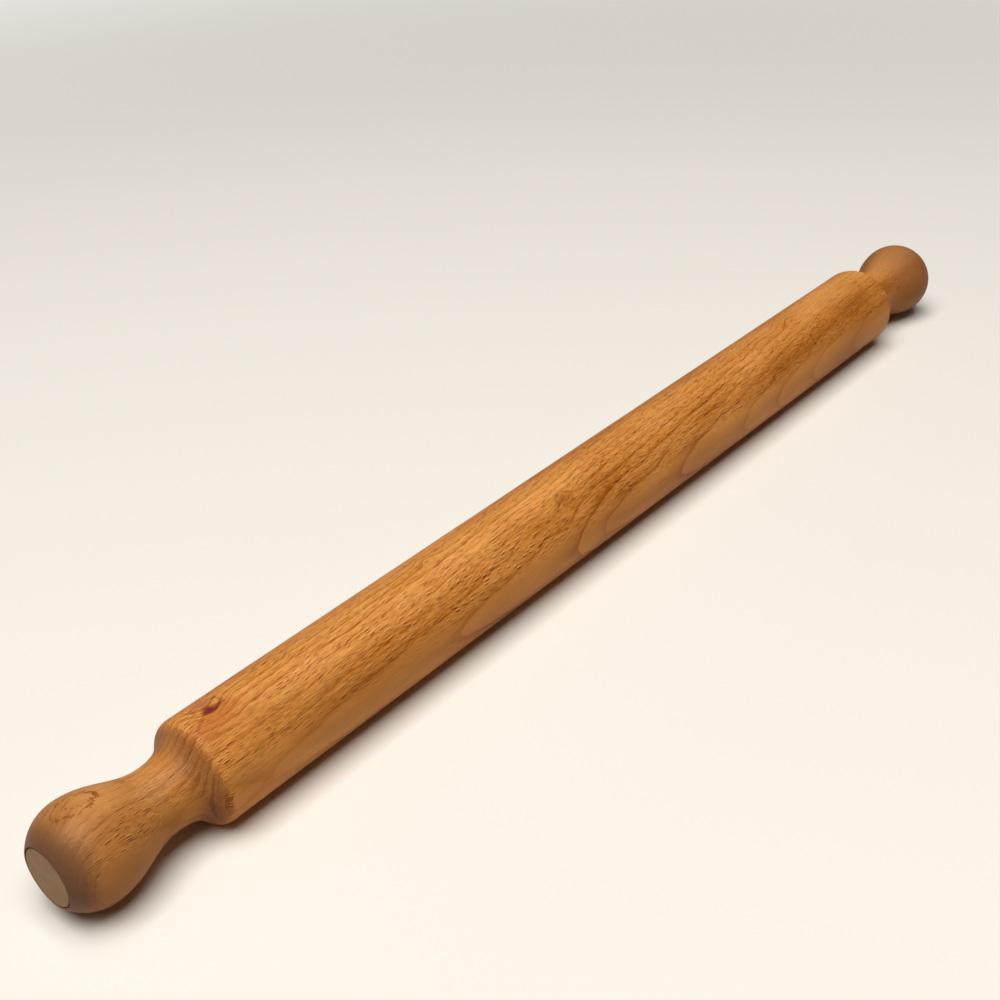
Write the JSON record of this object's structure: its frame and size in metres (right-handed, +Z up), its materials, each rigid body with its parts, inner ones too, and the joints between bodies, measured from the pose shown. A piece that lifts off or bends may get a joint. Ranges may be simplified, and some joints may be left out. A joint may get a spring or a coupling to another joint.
{
  "type": "rolling pin",
  "caption": "One-piece turned beech rolling pin: long round barrel, waisted necks and rounded knob handles, each handle closed by a flat pale end plug.",
  "frame": {"origin": "under the middle of the barrel, on the surface that the pin lies on", "axes": "+X along the pin from its left to its right handle, +Z up, +Y across"},
  "size_m": [0.6, 0.042, 0.042],
  "materials": {
    "oiled_beech": "satin oiled, honey orange, with dark ray flecks",
    "bare_beech": "bare sanded end, matt, pale tan"
  },
  "bodies": {
    "root": {"pin_body": "oiled_beech", "left_end_plug": "bare_beech", "right_end_plug": "bare_beech"}
  },
  "joints": []
}
